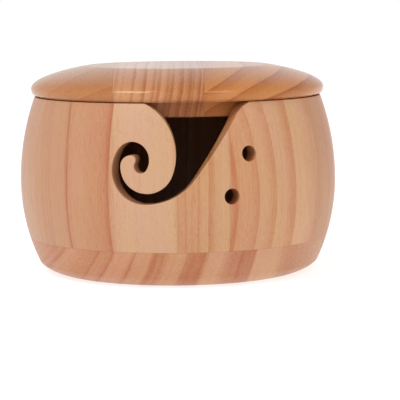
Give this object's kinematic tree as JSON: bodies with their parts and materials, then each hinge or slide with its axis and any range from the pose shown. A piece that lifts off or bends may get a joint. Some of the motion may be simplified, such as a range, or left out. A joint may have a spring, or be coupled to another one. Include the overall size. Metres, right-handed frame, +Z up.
{
  "type": "yarn bowl",
  "caption": "Round lidded wooden yarn bowl with a scroll-shaped yarn slot in its wall, small hook holes and a lift-off plug lid.",
  "frame": {"origin": "centre of the bowl's flat underside, on the surface it stands on", "axes": "+Z up along the bowl's turning axis, -Y towards the side with the scroll slot, +X to the right seen from that side"},
  "size_m": [0.15, 0.15, 0.0973],
  "materials": {
    "pine_pale": "pale pine sapwood, sanded and oiled, satin",
    "pine_tan": "tan pine with upright growth rings, sanded and oiled, satin",
    "pine_rosy": "salmon pine with upright growth rings, sanded and oiled, satin",
    "pine_base": "salmon pine with end grain at the front, sanded and oiled, satin",
    "pine_lid": "orange-brown pine in edge-glued boards, polished semi-gloss"
  },
  "bodies": {
    "bowl": {"base_disc": "pine_base", "stave_01": "pine_rosy", "stave_02": "pine_pale", "stave_03": "pine_tan", "stave_04": "pine_rosy", "stave_05": "pine_pale", "stave_06": "pine_tan", "stave_07": "pine_rosy", "stave_08": "pine_pale", "stave_09": "pine_tan", "stave_10": "pine_rosy", "stave_11": "pine_pale", "stave_12": "pine_tan", "stave_13": "pine_rosy", "stave_14": "pine_pale", "stave_15": "pine_tan", "stave_16": "pine_rosy", "stave_17": "pine_pale", "stave_18": "pine_tan"},
    "lid": {"lid_board_left": "pine_lid", "lid_board_middle": "pine_lid", "lid_board_right": "pine_lid"}
  },
  "joints": [
    {"name": "lid_lift", "type": "slide", "parent": "bowl", "child": "lid", "axis": [0, 0, 1], "range_m": [0, 0.12]}
  ]
}
